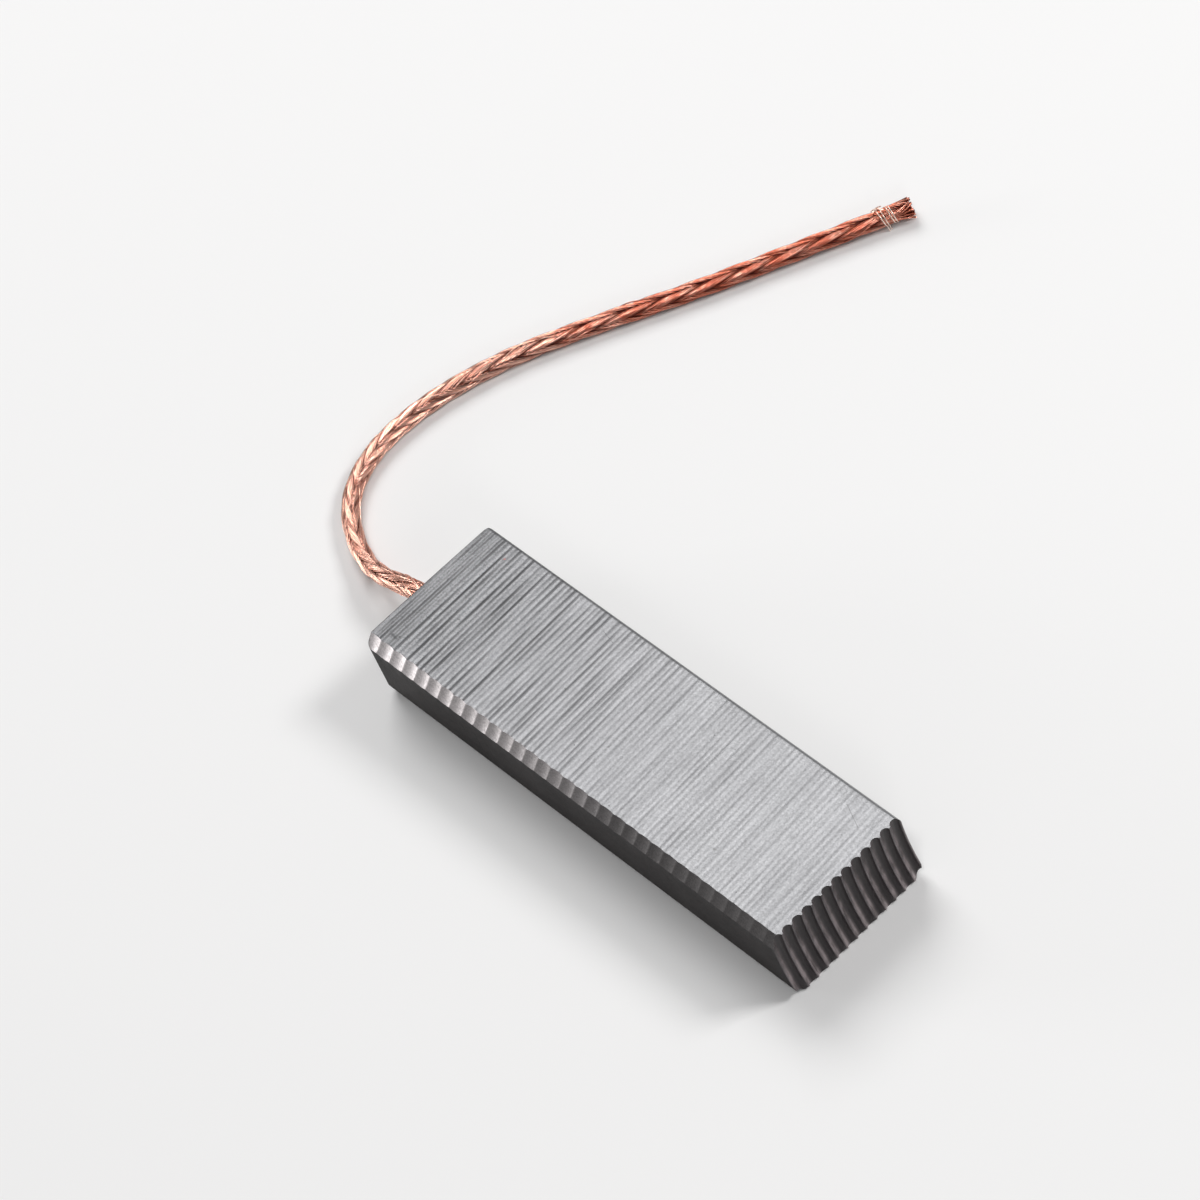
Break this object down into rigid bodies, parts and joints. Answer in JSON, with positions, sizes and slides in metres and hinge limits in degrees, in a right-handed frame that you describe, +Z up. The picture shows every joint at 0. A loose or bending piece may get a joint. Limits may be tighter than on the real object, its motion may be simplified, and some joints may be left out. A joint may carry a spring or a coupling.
{
  "type": "carbon brush",
  "caption": "Rectangular carbon motor brush with a concave grooved contact face and a braided copper lead tamped into its rear end.",
  "frame": {"origin": "middle of the bar's underside, the wide face that it lies on", "axes": "+X along the bar to the grooved contact face, +Y across the bar's width, +Z up through its thickness"},
  "size_m": [0.0608, 0.0541, 0.0065],
  "materials": {
    "carbon": "ground graphite, grey where it catches light, near black elsewhere",
    "contact_powder": "dull pressed copper powder",
    "copper_braid": "bare bright copper wire",
    "copper_wire": "bare bright copper wire"
  },
  "bodies": {
    "root": {"carbon_block": "carbon", "tamped_plug": "contact_powder", "pigtail": "copper_braid", "binding_wire": "copper_wire"}
  },
  "joints": []
}
